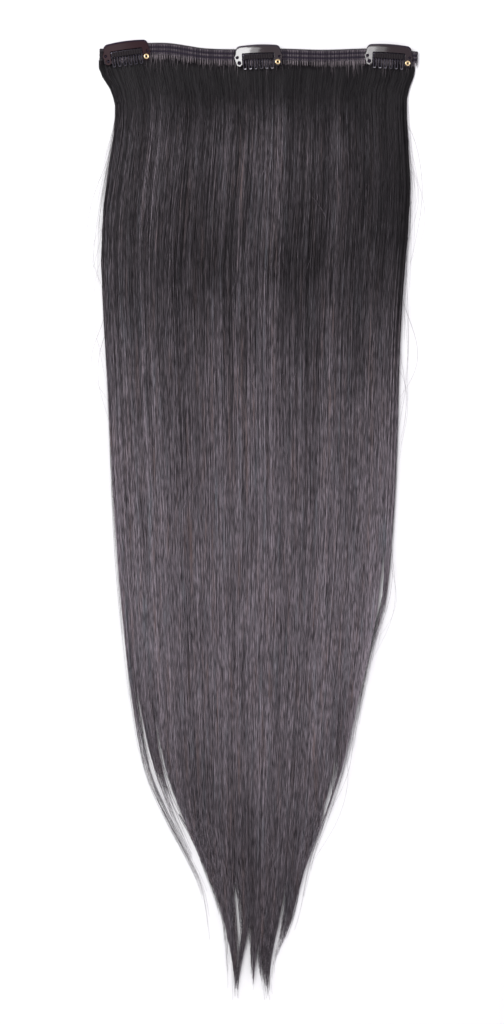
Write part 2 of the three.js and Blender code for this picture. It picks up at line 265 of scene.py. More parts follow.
def tubePoints(paths, radii, sides):
    # rings of points round each path; paths is strands by steps by 3
    tangent = np.gradient(paths, axis=1)
    tangent /= np.linalg.norm(tangent, axis=2, keepdims=True)
    side = np.cross(tangent, (0, 0, 1))
    side /= np.linalg.norm(side, axis=2, keepdims=True)
    over = np.cross(side, tangent)
    turn = np.pi / 2 + 2 * np.pi * np.arange(sides) / sides
    across = np.cos(turn)[None, None, :, None] * side[:, :, None, :]
    rise = np.sin(turn)[None, None, :, None] * over[:, :, None, :]
    return paths[:, :, None, :] + radii[:, :, None, None] * (across + rise)


def tubeFaces(strands, steps, sides):
    strand = np.arange(strands)[:, None, None] * steps * sides
    step = np.arange(steps - 1)[None, :, None] * sides
    at = np.arange(sides)[None, None, :]
    a = strand + step + at
    b = strand + step + (at + 1) % sides
    quads = np.stack([a, a + sides, b + sides, b], -1).reshape(-1, 4)
    first = np.arange(strands)[:, None] * steps * sides + np.arange(sides)[None, :]
    last = first[:, ::-1] + (steps - 1) * sides
    return quads.tolist() + first.tolist() + last.tolist()


def tubes(name, paths, radii, material, sides=3, attributes=None):
    paths = np.asarray(paths, float)
    strands, steps, _ = paths.shape
    radii = np.broadcast_to(radii, (strands, steps))
    points = tubePoints(paths, radii, sides)
    spread = {}
    for key, values in (attributes or {}).items():
        values = np.broadcast_to(values, (strands, steps))
        spread[key] = np.repeat(values.ravel(), sides)
    faces = tubeFaces(strands, steps, sides)
    piece = meshFrom(name, points.reshape(-1, 3), faces, material, spread)
    if sides == 3:
        stripMap(piece.data, strands, steps, sides)
    return piece


def stripMap(mesh, strands, steps, sides):
    # lays each strand out as its own narrow strip with a margin round it, for a bake
    rows = 4  # of strips, one above the other
    columns = math.ceil(strands / rows)
    strand = np.arange(strands)[:, None, None, None]
    step = np.arange(steps - 1)[None, :, None, None]
    side = np.arange(sides)[None, None, :, None]
    sideways = np.array([0, 0, 1, 1])[None, None, None, :]
    along = np.array([0, 1, 1, 0])[None, None, None, :]
    u = (strand % columns + (side + sideways) / sides * 0.94 + 0.03) / columns
    v = (strand // columns + (step + along) / (steps - 1) * 0.96 + 0.02) / rows
    u, v = np.broadcast_arrays(u, v)
    flat = np.stack([u.ravel(), v.ravel()], -1)
    ends = []
    for edge in (0.005, 0.985):  # the two ends' faces, as small triangles in the margin
        column = np.arange(strands)[:, None] % columns
        row = np.arange(strands)[:, None] // columns
        x = (column + np.array([0.1, 0.5, 0.9])[None, :]) / columns
        y = (row + edge + np.array([0, 0.01, 0])[None, :]) / rows
        ends.append(np.stack([x.ravel(), y.ravel()], -1))
    layer = mesh.uv_layers.new(name="OFBake")
    everything = np.concatenate([flat, *ends]).astype(np.float32)
    layer.data.foreach_set("uv", everything.ravel())


def keep(piece, bodyName, slot, *nodes):
    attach(piece, bodyName)
    if nodes:
        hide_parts(*nodes)


# Hair, laid as strands over a dense inner layer.

hairLook = {
    "seed": 11,
    "layers": [
        {"name": "hair_deep_strands", "count": 1000, "low": 0.3, "high": 0.62},
        {"name": "hair_middle_strands", "count": 1500, "low": 0.55, "high": 0.82},
        {"name": "hair_upper_strands", "count": 1850, "low": 0.74, "high": 0.94},
        {"name": "hair_top_strands", "count": 1850, "low": 0.86, "high": 1},
    ],
    "perClump": 4,
    "clumpSpread": 0.8,
    # a strand's steps, as shares of its length: closer by the band and by the end
    "steps": (
        0, 0.012, 0.027, 0.045, 0.07, 0.11, 0.165, 0.24, 0.33,
        0.43, 0.53, 0.62, 0.7, 0.77, 0.835, 0.895, 0.95, 1,
    ),
    "radius": 0.2,
    "endRadius": 0.06,
    # how far clumps and strands wander, and the lengths of those waves in hair lengths
    "clumpWander": 0.8,
    "strandWander": 0.35,
    "clumpWaves": (0.26, 0.11),
    "strandWave": 0.15,
    "tighten": 0.6,
    "edgeReach": 26,  # how far a strand runs on along the edge after its own line has left
    "strayShare": 0.07,
    "strayLean": 3.2,
    "levelSpread": 0.025,
    "swell": 0.05,
    "swellWave": 0.19,
    "outerShare": 0.95,  # from here out a strand's level is free, so the side isn't a wall
    # lightness of a strand: what all have, and what its clump and its own hair add
    "baseTone": 0.17,
    "clumpTone": 0.1,
    "strandTone": 0.52,
    "brightShare": 0.05,
    "brightTone": 0.3,
    "patchTone": 0.08,
    # painted light: how much lighter the curtain's outer sides are drawn
    "paintedSideLight": 0.5,
    # lightness down the length: painted shade under the band and painted sheen further down
    "tone": (
        (0, 0.015), (0.012, 0.02), (0.025, 0.03), (0.045, 0.12), (0.09, 0.48), (0.15, 0.47),
        (0.23, 0.43), (0.32, 0.7), (0.42, 0.9), (0.53, 1.12), (0.64, 1.12), (0.74, 1.06),
        (0.83, 0.88), (0.9, 0.85), (1, 0.85),
    ),
    # soft places of painted shade: middle across and down, reach across and down, and depth
    "shades": (
        (0.02, 0.1, 0.12, 0.14, 0.5), (1.02, 0.12, 0.24, 0.2, 0.97),
        (0.37, 0.2, 0.07, 0.06, 0.5), (0.64, 0.22, 0.08, 0.05, 0.5),
        (0.16, 0.24, 0.06, 0.05, 0.4), (0.36, 0.03, 0.07, 0.022, 0.7),
        (0.61, 0.028, 0.09, 0.02, 0.7), (0.8, 0.034, 0.05, 0.02, 0.6),
        (0.2, 0.04, 0.06, 0.02, 0.5), (0.47, 0.84, 0.06, 0.08, 0.4),
        (0.28, 0.8, 0.07, 0.07, 0.3),
    ),
    "dark": (0.004, 0.0026, 0.0043),
    "light": (0.334, 0.289, 0.331),
    "warm": (0.2, 0.135, 0.125),
    "cool": (0.16, 0.175, 0.2),
    "roughness": 0.42,
}
# How the hair falls and parts. Places down it are in hair lengths, those across it are in
# millimetres, and in half bands in the fall.
hairFlow = {
    # share of the inner strands that have ended, and their place down the hair
    "ends": ((0, 0.6), (0.06, 0.8), (0.2, 0.88), (0.5, 0.935), (0.78, 0.97), (1, 1)),
    # the lines left and right on which strands fall by themselves
    "fall": (
        (0.49, -0.928, 0.844), (0.57, -0.892, 0.8), (0.7, -0.83, 0.71), (0.8, -0.765, 0.63),
        (0.9, -0.69, 0.55), (1, -0.62, 0.48),
    ),
    # gaps between locks near the sides: the line and width of each, where it shuts, and
    # for how long the locks on its left and right are held apart by it
    "gaps": [
        {
            "line": ((0.655, -85.4), (0.694, -82.1), (0.728, -78.2), (0.757, -72.8), (0.79, -65)),
            "width": 1.7, "shut": 0.8, "holdLeft": 0.81, "holdRight": 0.81,
        },
        {
            "line": (
                (0.688, -72.4), (0.724, -69), (0.752, -65), (0.775, -60.6),
                (0.798, -55.2), (0.821, -49.3), (0.838, -44.8), (0.87, -38.4),
            ),
            "width": 1.7, "shut": 0.84, "holdLeft": 0.79, "holdRight": 0.87,
        },
        {
            "line": ((0.764, 48.3), (0.776, 46.4), (0.79, 43.8), (0.811, 40.5)),
            "width": 2.2, "shut": 0.83, "holdLeft": 0.85, "holdRight": 0.84,
        },
        {
            "line": ((0.53, 83), (0.56, 81.6), (0.598, 79.2), (0.628, 75.3), (0.66, 71.6)),
            "width": 2.6, "shut": 0.68, "holdLeft": 0.67, "holdRight": 0.68,
        },
    ],
    "holdEase": 20,
    # both sides of the outer locks, over which their strands lie evenly: the lock's number
    # from the left, and from where to where down the hair its strands spread
    "sideLocks": [
        {
            "lock": 0, "spread": (0.655, 0.72),
            "sides": (
                (0.655, -89.4, -86), (0.694, -86.2, -82.2), (0.729, -82.9, -77.8),
                (0.757, -79, -72.8), (0.78, -73.4, -67.5), (0.8, -67.2, -61),
                (0.823, -59.6, -53.6), (0.85, -50.5, -45.5), (0.88, -42, -39),
                (0.909, -38.5, -36), (0.946, -36.5, -34),
            ),
        },
        {
            "lock": 1, "spread": (0.67, 0.73),
            "sides": (
                (0.67, -82.6, -73), (0.694, -80.3, -72.6), (0.729, -76.3, -70.6),
                (0.757, -71.8, -66.6), (0.78, -67.8, -62.2), (0.8, -62.2, -57.2),
                (0.827, -53.8, -50.2), (0.85, -46.5, -44),
            ),
        },
        {
            "lock": 4, "spread": (0.49, 0.55),
            "sides": (
                (0.5, 85.8, 90), (0.544, 84.3, 87.5), (0.574, 82.9, 86), (0.598, 80.4, 83.4),
                (0.628, 76.5, 79.6), (0.659, 72.6, 75.2), (0.7, 66.6, 69),
            ),
        },
    ],
    # where the strands of each lock end: at the latest, how far back the first ones do, how
    # they crowd towards the latest, and the share whose ends lie evenly in between
    "lockEnds": (
        (0.85, 0.21, 0.15, 0.04), (0.85, 0.12, 0.13, 0.1), (1, 0, 1, 0),
        (0.835, 0.13, 0.35, 0.05), (0.72, 0.17, 0.08, 0.06),
    ),
    # tips, by their share of the curtain where it forks, with both sides of each
    "forkAt": 0.915,
    "tips": [
        {
            "from": 0, "to": 0.365, "last": 1.01, "span": 0.062, "fan": 2.6,
            "sides": (
                (0.915, -25.8, -9), (0.936, -21.4, -9), (0.957, -19, -13),
                (0.973, -17.7, -14.6), (0.99, -17.7, -15.3), (1, -18.4, -15.3),
            ),
        },
        {
            "from": 0.365, "to": 0.53, "last": 0.99, "span": 0.034, "fan": 0.4,
            "sides": (
                (0.915, -9, -1.5), (0.936, -8.2, -1.7), (0.947, -7.8, -2.2),
                (0.957, -6.8, -3), (0.966, -6.4, -3.9), (0.978, -5.7, -4.7), (1, -5.4, -5),
            ),
        },
        {
            "from": 0.53, "to": 0.845, "last": 1.012, "span": 0.056, "fan": 2.2,
            "sides": (
                (0.915, -1.5, 14.2), (0.925, -1.6, 12.6), (0.936, -1.8, 7.6),
                (0.957, -2.2, 5.6), (0.966, -1.4, 5.4), (0.978, 0.2, 5.6), (0.986, 2.2, 6),
                (1, 3.6, 6.4),
            ),
        },
        {
            "from": 0.845, "to": 1, "last": 0.958, "span": 0.085, "fan": 0.6,
            "sides": (
                (0.915, 15.4, 22), (0.93, 12.8, 18.6), (0.945, 10.8, 13.8),
                (0.96, 8.2, 9.6), (1, 4, 5),
            ),
        },
    ],
    # slits inside the tips, by their share of the curtain where it forks
    "slits": [
        {"share": 0.205, "start": 0.876, "end": 0.94, "width": 14, "reach": 0.055},
        {"share": 0.845, "start": 0.875, "end": 0.95, "width": 2.8, "reach": 0.03},
    ],
    "rootFlare": 4.6,
}
gaps, sideLocks, tips, slits = (hairFlow[key] for key in ("gaps", "sideLocks", "tips", "slits"))
forkAt = hairFlow["forkAt"]
# painted shade under the band and painted sheen further down, as lightness down the hair
paintedLightAlong = curve(hairLook["tone"])
fallLeft, fallRight = curves(hairFlow["fall"], 1, 2)
for row in tips + sideLocks:
    row["left"], row["right"] = curves(row["sides"], 1, 2)


def rootLine(x, down):
    settle = 1 - smooth(down, 0, 0.12)
    return -weft["bandHeight"] / 2 - weft["rootGap"] + bandY(x) * settle


def hairY(x, down):
    return rootLine(x, down) - down * weft["hairLength"]


def hairHeight(across, down):
    crown = 1 - 0.5 * (2 * across - 1) ** 2
    flat = weft["rootFlat"]
    free = smooth(down * weft["hairLength"], flat, 12 * flat)
    return mix(weft["rootThickness"], weft["hairThickness"] * curtainFull(down) * crown, free)


def edgesAt(down):
    return weft["halfBand"] * curtainLeft(down), weft["halfBand"] * curtainRight(down)


def ownLine(strand, down):
    # where a strand would fall by itself, in millimetres
    late = smooth(down, 0.49, 0.52)
    left = mix(curtainLeft(down), fallLeft(down), late)
    right = mix(curtainRight(down), fallRight(down), late)
    return weft["halfBand"] * mix(left, right, strand)


for row in gaps:
    row["start"] = row["line"][0][0]
    row["lineAt"] = curve(row["line"])
    grid = np.linspace(0, 1, 500)
    first = ownLine(grid, row["start"])
    row["strand"] = float(np.interp(row["line"][0][1], first, grid))


partings = [0] + [row["strand"] for row in gaps] + [1]
for row in sideLocks:
    row["from"], row["to"] = partings[row["lock"] : row["lock"] + 2]


def limitsOf(strand, down):
    # the sides of a strand's lock, the curtain's edges or a gap's, and how far each has
    # come in from the line on which it would fall by itself
    low, high = edgesAt(down)
    low = low + 0 * strand
    high = high + 0 * strand
    lowIn = np.maximum(low - ownLine(0, down), 0)
    highIn = np.maximum(ownLine(1, down) - high, 0)
    for row in gaps:
        own = ownLine(row["strand"], down)
        line = np.where(down < row["start"], own, row["lineAt"](down))
        away = 1 - smooth(down, row["start"] - 0.04, row["start"])
        opens = smooth(down, row["start"], row["start"] + 0.03)
        half = 0.5 * row["width"] * opens * (1 - smooth(down, row["shut"] - 0.03, row["shut"]))
        onRight = strand > row["strand"]
        free = away + hairFlow["holdEase"] * smooth(down, row["holdRight"], row["holdRight"] + 0.1)
        side = line + half - free
        lowIn = np.where(onRight & (side > low), np.maximum(side - own, 0), lowIn)
        low = np.where(onRight, np.maximum(low, side), low)
        free = away + hairFlow["holdEase"] * smooth(down, row["holdLeft"], row["holdLeft"] + 0.1)
        side = line - half + free
        highIn = np.where(~onRight & (side < high), np.maximum(own - side, 0), highIn)
        high = np.where(onRight, high, np.minimum(high, side))
    return low, high, lowIn, highIn


def held(over, slack):
    # a distance inside a side, which never comes below nought
    return slack * np.logaddexp(0, over / slack)


def heldLine(strand, down):
    # a strand's own line, held inside its lock's sides
    low, high, lowIn, highIn = limitsOf(strand, down)
    free = ownLine(strand, down)
    narrow = np.maximum((high - low) / 6, 0.1)
    free = low + held(free - low, np.minimum(0.03 + 0.2 * lowIn, narrow))
    x = high - held(high - free, np.minimum(0.03 + 0.2 * highIn, narrow))
    for row in sideLocks:
        spread = smooth(down, *row["spread"])
        inside = (strand >= row["from"]) & (strand < row["to"])
        share = (strand - row["from"]) / (row["to"] - row["from"])
        even = mix(row["left"](down), row["right"](down), share)
        x = np.where(inside, mix(x, even, spread), x)
    return x


def acrossOf(x, down):
    left, right = edgesAt(down)
    return np.clip((x - left) / (right - left), 0, 1)


def atFork(strand):
    # a strand's share of the curtain where it forks into tips
    return acrossOf(heldLine(strand, forkAt), forkAt)


def inTip(row, at):
    return (at >= row["from"]) & (at <= row["to"])


for row in slits:
    row["strand"] = float(np.interp(row["share"], atFork(grid), grid))


def curtainX(strand, down):
    # place of a strand in millimetres, gathered into the tips
    x = heldLine(strand, down)
    at = atFork(strand)
    gather = smooth(down, forkAt - 0.03, forkAt + 0.03)
    for row in tips:
        share = (at - row["from"]) / (row["to"] - row["from"])
        tip = mix(row["left"](down), row["right"](down), share)
        x = np.where(inTip(row, at), mix(x, tip, gather), x)
    for row in slits:
        opens = smooth(down, row["start"], mix(row["start"], row["end"], 0.5))
        shuts = 1 - smooth(down, mix(row["start"], row["end"], 0.6), row["end"])
        off = strand - row["strand"]
        push = np.exp(-np.abs(off) / row["reach"]) * np.sign(off)
        x = x + 0.5 * row["width"] * opens * shuts * push
    # the outermost roots start from the band's end
    flare = hairFlow["rootFlare"] * (1 - smooth(strand, 0, 0.05)) * (1 - smooth(down, 0.004, 0.05))
    return x - flare


def paintedLightOf(across, down):
    # painted shade from the soft places, times the painted shade and sheen down the length
    light = np.ones(np.broadcast(across, down).shape)
    for middle, level, wide, long, depth in hairLook["shades"]:
        far = ((across - middle) / wide) ** 2
        far = far + ((down - level) / long) ** 2
        light = light * (1 - depth * np.exp(-far))
    return light * paintedLightAlong(down)


def endsOf(strand, random, clump, clumps):
    # where each strand ends: by chance, soon after it meets a side, or with its lock
    ended, place = zip(*hairFlow["ends"])
    end = np.interp(random.random(clumps), ended, place)[clump]
    end = end + random.normal(0, 0.012, len(strand))
    down = np.linspace(0.5, 1, 120)[None, :]
    low, high, _, _ = limitsOf(strand[:, None], down)
    free = ownLine(strand[:, None], down)
    past = np.maximum(low - free, free - high)
    reach = 1 + hairLook["edgeReach"] * random.random(clumps)[clump] ** 1.3
    reach = reach * random.uniform(0.8, 1.1, len(strand))
    gone = past > reach[:, None]
    first = np.where(gone.any(1), down[0][gone.argmax(1)], 1)
    first = first + random.normal(0, 0.008, len(strand))

    lock = sum(strand > row["strand"] for row in gaps)
    end = np.where(lock == 2, np.minimum(end, first), end)
    for number, (last, span, power, even) in enumerate(hairFlow["lockEnds"]):
        early = random.random(len(strand))
        early = np.where(random.random(len(strand)) < even, early, early**power)
        end = np.where(lock == number, np.minimum(end, last - span * early), end)
    at = atFork(strand)
    for row in tips:
        last = row["last"] - row["span"] * random.random(len(strand)) ** 0.6
        end = np.where(inTip(row, at), np.minimum(end, last), end)
    return np.clip(end, 0.4, 1)


def layerOfHair(row, number):
    # strands in small clumps, laid along the curtain's lines
    look = hairLook
    random = np.random.default_rng(look["seed"] + number)
    count = row["count"]
    clumps = math.ceil(count / look["perClump"])
    clump = np.arange(count) // look["perClump"]
    pick = random.permutation(clumps)
    centre = ((pick + random.uniform(0.1, 0.9, clumps)) / clumps)[clump]
    spread = random.normal(0, look["clumpSpread"] / clumps, count)
    strand = np.clip(centre + spread, 0.001, 0.999)
    end = endsOf(strand, random, clump, clumps)

    def chance():
        # one random share for each clump, handed to its strands
        return random.random(clumps)[clump]

    share = np.array(look["steps"])[None, :]
    down = end[:, None] * share + 0.0006
    close = mix(1, look["tighten"], smooth(down, 0.3, 0.95))
    flow = np.clip(strand[:, None] - spread[:, None] * (1 - close), 0.001, 0.999)
    for gap in gaps:
        above = strand[:, None] > gap["strand"]
        flow = np.where(above == (flow > gap["strand"]), flow, strand[:, None])
    x = curtainX(flow, down)
    across = acrossOf(x, down)
    inner = mix(0.15, 1, smooth(np.minimum(across, 1 - across), 0, 0.08))

    # waves, strays that cross the others, and tips that fan out
    rooted = smooth(down, 0, 0.08)
    slim = mix(1, 0.45, smooth(down, 0.62, 0.9))
    for amount, phase, wave in (
        (look["clumpWander"], chance(), look["clumpWaves"][0]),
        (look["clumpWander"] * 0.4, chance(), look["clumpWaves"][1]),
        (look["strandWander"], random.random(count), look["strandWave"]),
    ):
        size = amount * random.uniform(0.3, 1, count)[:, None] * inner * rooted * slim
        x = x + size * np.sin(2 * np.pi * (down / wave + phase[:, None]))
    stray = (random.random(count) < look["strayShare"])[:, None] * (number > 1)
    lean = random.normal(0, look["strayLean"], count)[:, None] * smooth(down, 0.05, 0.6)
    x = x + stray * lean * slim * inner
    fan = np.zeros(count)
    at = atFork(strand)
    for tip in tips:
        late = smooth(end, tip["last"] - 0.03, tip["last"] - 0.004)
        fan = np.where(inTip(tip, at), tip["fan"] * late, fan)
    fan = fan * random.normal(0, 1, count)
    x = x + fan[:, None] * smooth(down, end[:, None] - 0.03, end[:, None])

    level = mix(row["low"], row["high"], random.random(clumps))[clump]
    level = level + random.normal(0, look["levelSpread"], count)
    outer = np.abs(2 * strand - 1) > look["outerShare"]
    level = np.where(outer, random.uniform(0.12, 1, count), level)
    level = np.clip(level, 0.1, 1.02)[:, None]
    phase = random.random(count)[:, None]
    wave = np.sin(2 * np.pi * (down / look["swellWave"] + phase))
    swell = look["swell"] * wave * smooth(down, 0.06, 0.2)
    height = hairHeight(across, down) * (level + swell) + stray * 0.25
    thin = mix(look["radius"], look["endRadius"], smooth(share, 0.8, 1))
    radius = thin * random.uniform(0.75, 1.15, count)[:, None]
    z = np.maximum(height - radius, radius + 0.05)

    tone = look["clumpTone"] * chance() + look["baseTone"]
    tone = tone + look["strandTone"] * random.beta(1.2, 2, count)
    tone = tone + look["brightTone"] * (random.random(count) < look["brightShare"])
    patch = np.sin(2 * np.pi * (2.3 * strand + 0.12)) + np.sin(2 * np.pi * (5.1 * strand + 0.4))
    tone = tone * (1 + look["patchTone"] * patch)
    calm = smooth(down, 0.2, 0.5)  # above this strands differ more from each other
    tone = mix(2.2, 1, calm) * tone[:, None] ** mix(2.25, 1, calm) * paintedLightOf(across, down)
    # painted light: the outer sides are drawn lighter lower down
    side = smooth(np.abs(2 * across - 1), 0.93, 1)
    tone = tone * (1 + look["paintedSideLight"] * calm * side)
    tint = chance() * 0.6 + random.random(count) * 0.4
    values = {"tone": tone, "tint": tint[:, None]}
    paths = np.stack([x, hairY(x, down), z], -1)
    piece = tubes(row["name"], paths, radius, hairFinish, attributes=values)
    keep(piece, body, "hair", "hair")


def hairColour(wire):
    tone = wire.attribute("tone")
    tint = wire.attribute("tint")
    # painted glints: short lighter dashes along the strands, put into the base colour
    glint = wire.noise((1700, 150, 1700), 1).between(0.26, 0.74)
    level = tone * (0.36 + 1.28 * glint)
    grey = level.blend(rgb(*hairLook["dark"]), rgb(*hairLook["light"]))
    hue = 0.5 * tint + wire.noise((330, 20, 330), 1) - 0.25
    brown = (hue.between(0.62, 0.85) * level).blend(grey, rgb(*hairLook["warm"]))
    return (hue.between(0.38, 0.15) * level).blend(brown, rgb(*hairLook["cool"]))


def hairVary(wire):
    patch = wire.noise((60, 8, 60), 1)
    return {
        "Base Color": hairColour(wire),
        "Roughness": hairLook["roughness"] + 0.12 * patch,
    }


hairFinish = finish("hair_sheen", {"Specular IOR Level": 0.2, "Metallic": 0}, hairVary)


underLook = {
    "columns": 150,
    "rings": 64,
    "top": 0.0012,
    "end": 0.875,
    "inset": (1.5, 7),
    "share": 0.5,  # of the hair's height
    "ridge": 0.05,
    "base": 0.1,
    "thinnest": 0.16,
    # painted shade: the inner layer's low lightness beside the strands
    "tone": 0.35,
}


def underlayer():
    # dense inner hair, ridged along its length, that the strands lie on
    look = underLook
    columns = look["columns"]
    rings = np.linspace(0, 1, look["rings"])
    down = mix(look["top"], look["end"], rings**1.05)[:, None]
    share = np.linspace(0, 1, columns)[None, :]
    low, high, _, _ = limitsOf(np.array([[0.5]]), down)
    inset = mix(*look["inset"], smooth(down, 0.5, 0.72))
    x = mix(low + inset, high - inset, share)
    across = acrossOf(x, down)
    taper = 1 - smooth(down, 0.76, look["end"])
    random = np.random.default_rng(hairLook["seed"])
    ridge = random.normal(0, look["ridge"], columns)[None, :]
    top = hairHeight(across, down) * (look["share"] + ridge * smooth(down, 0.02, 0.1))
    side = np.sqrt(np.clip(1 - (2 * share - 1) ** 8, 0, 1))
    least = look["thinnest"]
    top = least + np.maximum(top - least, 0.1) * side * mix(0.12, 1, taper)
    over = np.stack([x, hairY(x, down), top], -1)
    under = over.copy()
    under[:, :, 2] = look["base"]
    # painted shade: the inner layer is drawn dark, with the soft places of painted shade too
    tone = random.beta(2, 3, columns)[None, :] * paintedLightOf(across, down) * look["tone"]
    tint = np.repeat(random.random(columns)[None, :], len(down), 0)
    values = {}
    for key, value in (("tone", tone), ("tint", tint)):
        values[key] = np.concatenate([value, value[:, ::-1]], 1)
    section = np.concatenate([over, under[:, ::-1]], 1)
    piece = loft("hair_underlayer", section, hairFinish, values)
    keep(piece, body, "hair", "hair")


underlayer()
for number, row in enumerate(hairLook["layers"]):
    layerOfHair(row, number)
print("hair laid")

# Loose hairs: from a place on one side of the curtain to an end off it.
looseLook = {
    "seed": 5,
    "radius": 0.11,
    "steps": 20,
    # side, count, start and end down the hair, and how far out past that side at the end;
    # 0 and 1 are the curtain's left and right edges, 2 the side of its outermost left lock
    "groups": (
        (2, 6, (0.5, 0.66), (0.76, 0.85), (-1, 3)),
        (2, 8, (0.66, 0.76), (0.83, 0.89), (-1, 6)),
        (2, 8, (0.76, 0.83), (0.87, 0.945), (-1.5, 1.5)),
        (0, 14, (0.8, 0.84), (0.88, 0.94), (0.5, 4)),
        (0, 10, (0.15, 0.5), (0.6, 0.75), (0.2, 3)),
        (0, 9, (0.84, 0.9), (0.93, 0.99), (0.5, 3)),
        (1, 17, (0.42, 0.62), (0.66, 0.84), (0.4, 6)),
        (1, 7, (0.7, 0.82), (0.84, 0.95), (0.5, 6)),
        (1, 10, (0.2, 0.5), (0.6, 0.75), (0.2, 3)),
        (1, 9, (0.86, 0.9), (0.93, 0.98), (0.5, 3)),
        (0, 14, (0.0, 0.01), (0.1, 0.24), (0.5, 6)),
        (1, 12, (0.0, 0.01), (0.1, 0.3), (0.5, 5)),
    ),
    "inward": (1.5, 1.5, 4.5),  # how far inside each side they may start
    "bow": 0.8,
    # side, count, start and span down the hair, and how far out an arc swings
    "arcs": (
        (0, 7, (0.05, 0.3), (0.06, 0.16), (4, 12)),
        (1, 10, (0.04, 0.35), (0.07, 0.2), (4, 13)),
        (1, 5, (0.5, 0.8), (0.06, 0.14), (3, 10)),
    ),
    "arcRise": 2,
    # short hairs that lie askew on top of the others
    "askew": {
        "count": 90, "down": (0.06, 0.86), "long": (9, 26), "turn": 0.32,
        "lift": 0.15, "dip": 0.35,
    },
}


def sideLine(side, down):
    edge = edgesAt(down)[side % 2]
    if side < 2:
        return edge
    outer = sideLocks[0]
    return mix(edge, outer["left"](down), smooth(down, *outer["spread"]))


def looseHairs():
    random = np.random.default_rng(looseLook["seed"])
    paths = []
    tones = []
    share = np.linspace(0, 1, looseLook["steps"])
    for side, count, starts, ends, outs in looseLook["groups"]:
        outward = 1 if side == 1 else -1
        for _ in range(count):
            start, end = random.uniform(*starts), random.uniform(*ends)
            out = random.uniform(*outs) * outward
            down = mix(start, end, share)
            bow = random.normal(0, looseLook["bow"]) * np.sin(np.pi * share)
            inward = -random.uniform(0, looseLook["inward"][side]) * outward
            edge = sideLine(side, down)
            x = edge + inward + out * share ** random.uniform(1.2, 2.6) + bow
            z = hairHeight(0.02, down) * random.uniform(0.2, 0.8) * (1 - 0.6 * share) + 0.2
            paths.append(np.stack([x, hairY(x, down), z], -1))
            tones.append(random.uniform(0.05, 0.35))
    for side, count, starts, spans, outs in looseLook["arcs"]:
        for _ in range(count):
            start, span = random.uniform(*starts), random.uniform(*spans)
            out = random.uniform(*outs) * (1 if side else -1)
            down = start + span * share
            x = edgesAt(down)[side] + out * np.sin(np.pi * share ** random.uniform(0.7, 1.4))
            rise = looseLook["arcRise"] * np.sin(np.pi * share)
            z = hairHeight(0.02, down) * 0.7 + 0.4 + rise
            paths.append(np.stack([x, hairY(x, down), z], -1))
            tones.append(random.uniform(0.3, 0.8))
    row = looseLook["askew"]
    for _ in range(row["count"]):
        middle = random.uniform(*row["down"])
        across = random.uniform(0.1, 0.9)
        half = 0.5 * random.uniform(*row["long"])
        turn = random.normal(0, row["turn"])
        step = np.linspace(-half, half, looseLook["steps"])
        x = mix(*edgesAt(middle), across) + step * math.sin(turn) + 0.02 * step**2 * turn
        y = float(hairY(x[0], middle)) + step * math.cos(turn)
        down = (-4 - y) / weft["hairLength"]
        over = hairHeight(acrossOf(x, down), down) + row["lift"]
        z = over - row["dip"] * (2 * share - 1) ** 4
        paths.append(np.stack([x, y, z], -1))
        # the askew hairs take the painted shade and sheen down the length
        tones.append(float(random.uniform(0.7, 1.5) * paintedLightAlong(middle)))
    paths = np.array(paths)
    count = len(paths)
    radius = looseLook["radius"] * random.uniform(0.5, 1.1, count)[:, None]
    radius = radius * mix(1, 0.4, share[None, :] ** 2)
    values = {"tone": np.array(tones)[:, None], "tint": 0.5}
    piece = tubes("loose_hairs", paths, radius, hairFinish, attributes=values)
    keep(piece, body, "hair")


looseHairs()
print("loose hairs laid")

# Seam band: turned hair over a core, sewn with three rows of thread.

bandLook = {
    "seed": 23,
    "pitch": 1.6,  # one stitch and one bundle of turned hair
    "perBundle": 4,  # hairs in a bundle
    "wrapRadius": 0.19,
    "threadRadius": 0.11,
    "rows": (1.9, -0.9, -3.7),  # zigzag stitches, above or below the middle line
    "valleys": (0.5, -2.3),  # straight threads, drawn in between them
    "swing": 0.85,
    "core": (-109.6, 106, 214),  # left end, right end, sections
    "ends": (-109, 106.4),
    "threadInset": 0.6,
    "coreSize": 0.96,
    "coreDrop": 0.32,
    "coreFoot": ((-3.95, 0.9), (-3.95, 0.12), (3.3, 0.12)),
    # way of a turned hair over the band: along is above its middle line, then height
    "way": (
        (2.0, 0.34), (3.0, 0.36), (3.6, 0.62), (3.72, 1.15), (3.55, 1.7), (3.1, 2.15),
        (2.5, 2.42), (1.9, 2.5), (1.2, 2.28), (0.5, 1.98), (-0.2, 2.28), (-0.9, 2.5),
        (-1.6, 2.28), (-2.3, 1.98), (-2.9, 2.28), (-3.5, 2.42), (-4.2, 2.3), (-5.2, 2.12),
        (-6.4, 2.0),
    ),
    # the fringe that hangs out under the band
    "fringeStart": -3.5,
    "fringeEnd": -7.5,
    "fringeSpread": 0.6,
    "fringeLimits": (-9, -5.8),
    "fringeLean": 0.09,
    "jitter": 0.04,
    # width of a bundle, as a share of the pitch: in a valley, on a crest, in the fringe
    "bundleWide": (0.62, 0.86, 0.5),
    "pinch": 0.14,
    "cornerDrop": 0.55,
    "hairDark": (0.012, 0.009, 0.013),
    "hairLight": (0.39, 0.335, 0.365),
    "thread": ((0.012, 0.006, 0.02), (0.038, 0.025, 0.055)),
    # hairs left short under the fringe: count, half their row, how far down they reach
    "shortHairs": {"count": 640, "half": 104, "end": (-7.5, -18), "radius": 0.11},
    "shortTop": (2.1, 2.6),  # height at which the short hairs leave the band, and the most
}
wayBack = np.array(bandLook["way"][4:][::-1])


def bandVary(wire):
    tone = wire.attribute("tone")
    fleck = wire.noise((1600, 300, 900), 2)
    level = (tone * (0.5 + fleck)).between(0, 1)
    colour = level.blend(rgb(*bandLook["hairDark"]), rgb(*bandLook["hairLight"]))
    return {"Base Color": colour, "Roughness": 0.45 + 0.2 * fleck}


bandFinish = finish("turned_hair", {"Specular IOR Level": 0.25}, bandVary)
threadFinish = mottled(
    "sewing_thread", 3000, 2, bandLook["thread"], (0.5, 0.2), {"Specular IOR Level": 0.3}
)


